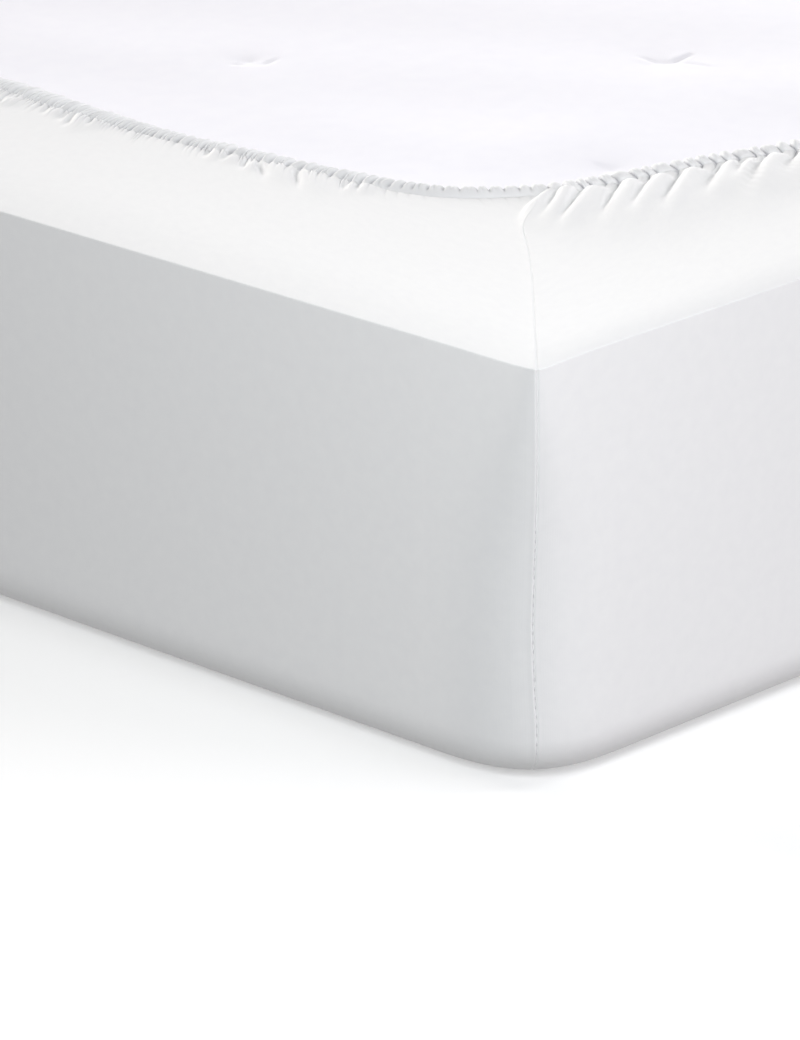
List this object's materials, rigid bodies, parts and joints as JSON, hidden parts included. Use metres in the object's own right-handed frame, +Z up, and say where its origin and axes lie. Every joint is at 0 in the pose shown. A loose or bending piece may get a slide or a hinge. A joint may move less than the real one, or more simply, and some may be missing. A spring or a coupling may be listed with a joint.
{
  "type": "fitted sheet on mattress",
  "caption": "White jersey fitted sheet stretched over a single mattress that lies underside up, its walls taut and its gathered elastic hem turned over the upper edge.",
  "frame": {"origin": "centre of the footprint, on the surface the mattress lies on", "axes": "+X across the mattress, +Y along it, +Z up"},
  "size_m": [0.9, 2, 0.2045],
  "materials": {
    "jersey": "matte fine knit",
    "ticking": "matte smooth cloth"
  },
  "bodies": {
    "root": {"fitted_sheet": "jersey", "mattress": "ticking"}
  },
  "joints": []
}
